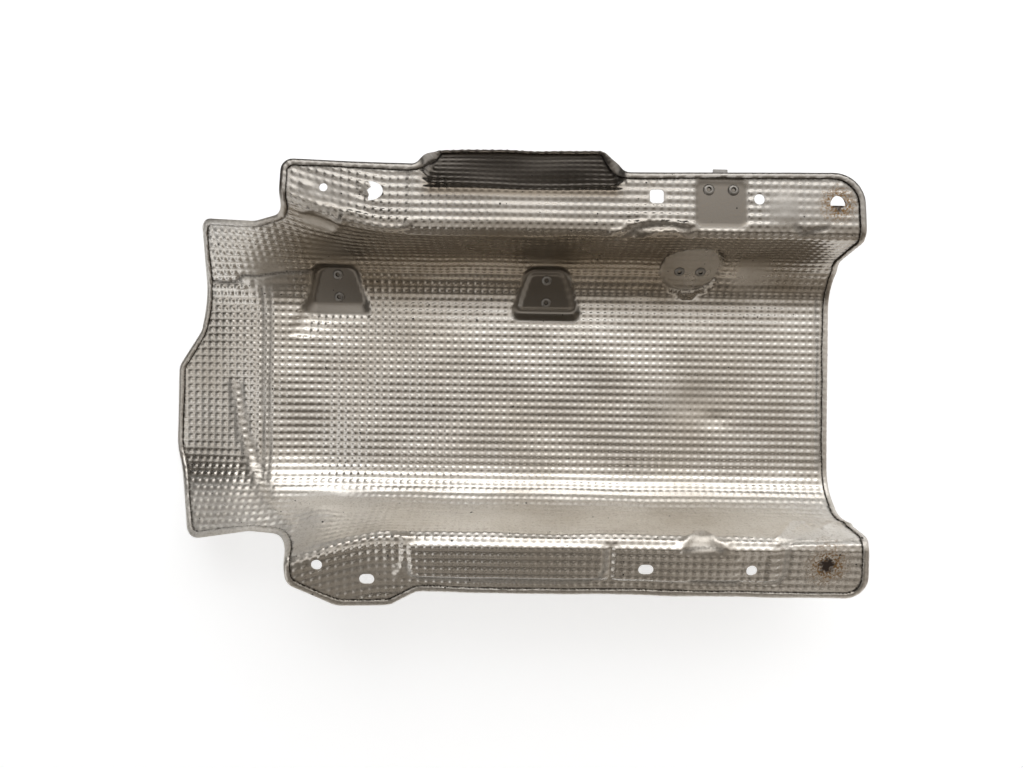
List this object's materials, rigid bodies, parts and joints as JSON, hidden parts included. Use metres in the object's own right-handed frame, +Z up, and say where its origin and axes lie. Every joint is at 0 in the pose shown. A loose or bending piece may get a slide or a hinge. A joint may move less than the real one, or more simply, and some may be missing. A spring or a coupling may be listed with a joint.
{
  "type": "heat shield",
  "caption": "Trough-shaped embossed sheet heat shield with a hemmed rim, drooping flanges with bolt holes, a folded tab, riveted bracket pads and a flared mouth at one end.",
  "frame": {"origin": "middle of the trough floor, on its outer (under) face", "axes": "+X along the trough, away from the flared mouth; +Y across it, towards the flange with the folded tab; +Z up out of the trough"},
  "size_m": [0.5627, 0.3609, 0.0898],
  "materials": {
    "sheet": "embossed, weathered",
    "rivet": "dull",
    "strap": "dull"
  },
  "bodies": {
    "root": {"shield": "sheet", "rivets": "rivet", "left_strap": "strap", "centre_strap": "strap", "dish_strap": "strap", "seat_strap": "strap"}
  },
  "joints": []
}
